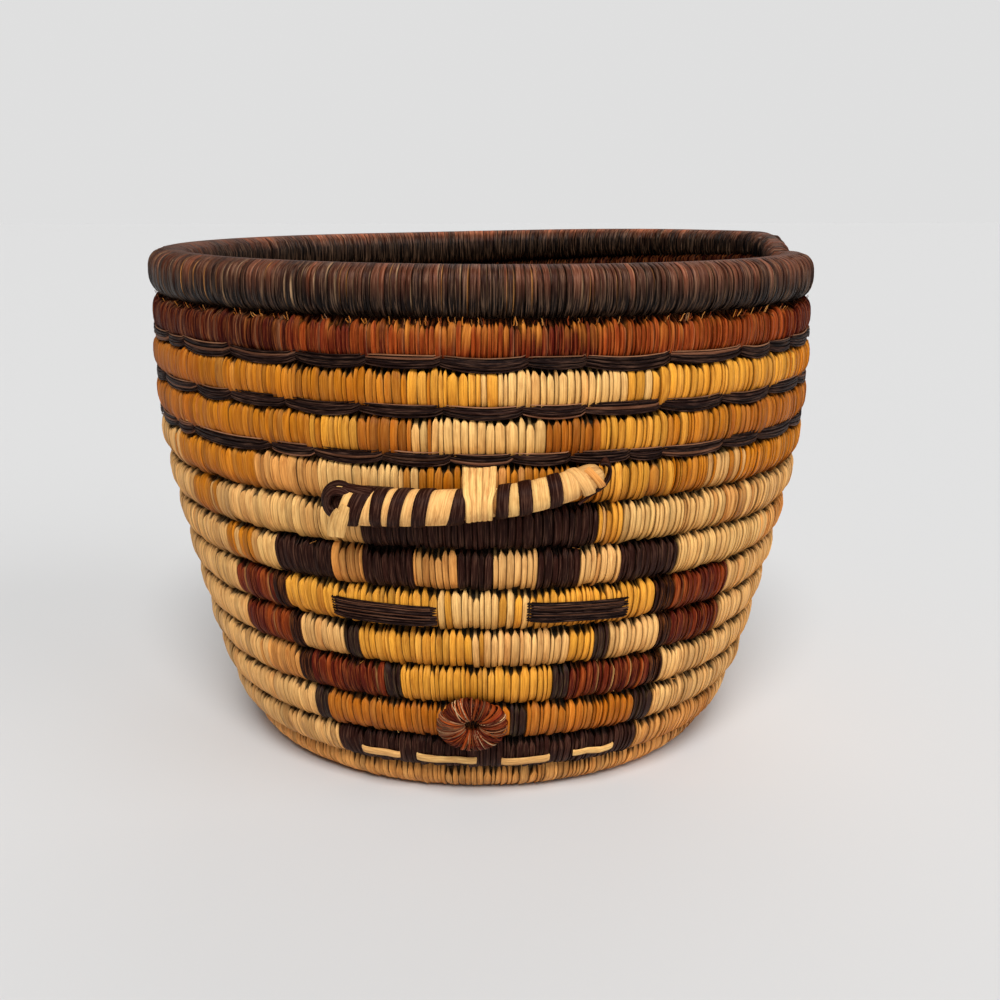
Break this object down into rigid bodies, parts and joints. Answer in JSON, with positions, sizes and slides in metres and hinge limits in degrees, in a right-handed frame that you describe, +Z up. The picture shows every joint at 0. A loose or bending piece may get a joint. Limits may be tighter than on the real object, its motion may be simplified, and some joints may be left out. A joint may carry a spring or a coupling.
{
  "type": "coiled basket",
  "caption": "Round open basket of coiled grass wrapped with splints, with a stylised face sewn into its front; it holds small things and stands on its flat base.",
  "frame": {"origin": "centre of the underside, on the plane the basket rests on", "axes": "+Z upwards along the basket's axis, out of its opening; -Y towards the face; +X to the right of a viewer who looks at the face"},
  "size_m": [0.214, 0.2227, 0.1602],
  "materials": {
    "cream": "dry undyed splint, satin",
    "tan": "dry undyed splint, satin",
    "gold": "dyed splint, satin",
    "yellow": "dyed splint, satin",
    "maroon": "dyed splint, satin",
    "black": "dyed splint, satin",
    "dark": "dyed splint, satin",
    "grass": "dry grass, matte"
  },
  "bodies": {
    "root": {"grass_foundation_coil": "grass", "start_knot": "cream", "plain_wrap_floor_to_12": "cream", "plain_wrap_12_to_11": "cream", "plain_wrap_11_to_10": "cream", "plain_wrap_10_to_09": "cream", "plain_wrap_09_to_08": "cream", "plain_wrap_08_to_07": "cream", "plain_wrap_07_to_06": "cream", "plain_wrap_06_to_top": "cream", "lower_gold_course_wrap": "gold", "upper_gold_course_wrap": "gold", "maroon_course_wrap": "maroon", "rim_wrap": "dark", "wrap_06_1_black": "black", "wrap_07_1_black": "black", "wrap_07_2_tan": "tan", "wrap_07_3_black": "black", "wrap_07_4_tan": "tan", "wrap_07_5_black": "black", "wrap_07_6_cream": "cream", "wrap_07_7_black": "black", "wrap_07_8_cream": "cream", "wrap_07_9_black": "black", "wrap_08_1_maroon": "maroon", "wrap_08_2_yellow": "yellow", "wrap_08_3_maroon": "maroon", "wrap_09_1_maroon": "maroon", "wrap_09_2_cream": "cream", "wrap_09_3_yellow": "yellow", "wrap_09_4_cream": "cream", "wrap_09_5_maroon": "maroon", "wrap_10_1_maroon": "maroon", "wrap_10_2_yellow": "yellow", "wrap_10_3_maroon": "maroon", "wrap_11_1_gold": "gold", "wrap_12_1_black": "black", "upper_strip": "black", "middle_strip": "black", "lower_strip": "black", "roll_core": "cream", "roll_left_wrap": "cream", "roll_right_wrap": "black", "roll_tie_strap": "cream", "roll_left_loop": "black", "roll_end_ring": "black", "left_eye": "black", "right_eye": "black", "tooth_1": "cream", "tooth_2": "cream", "tooth_3": "cream", "tooth_4": "cream", "nose_rosette": "maroon"}
  },
  "joints": []
}
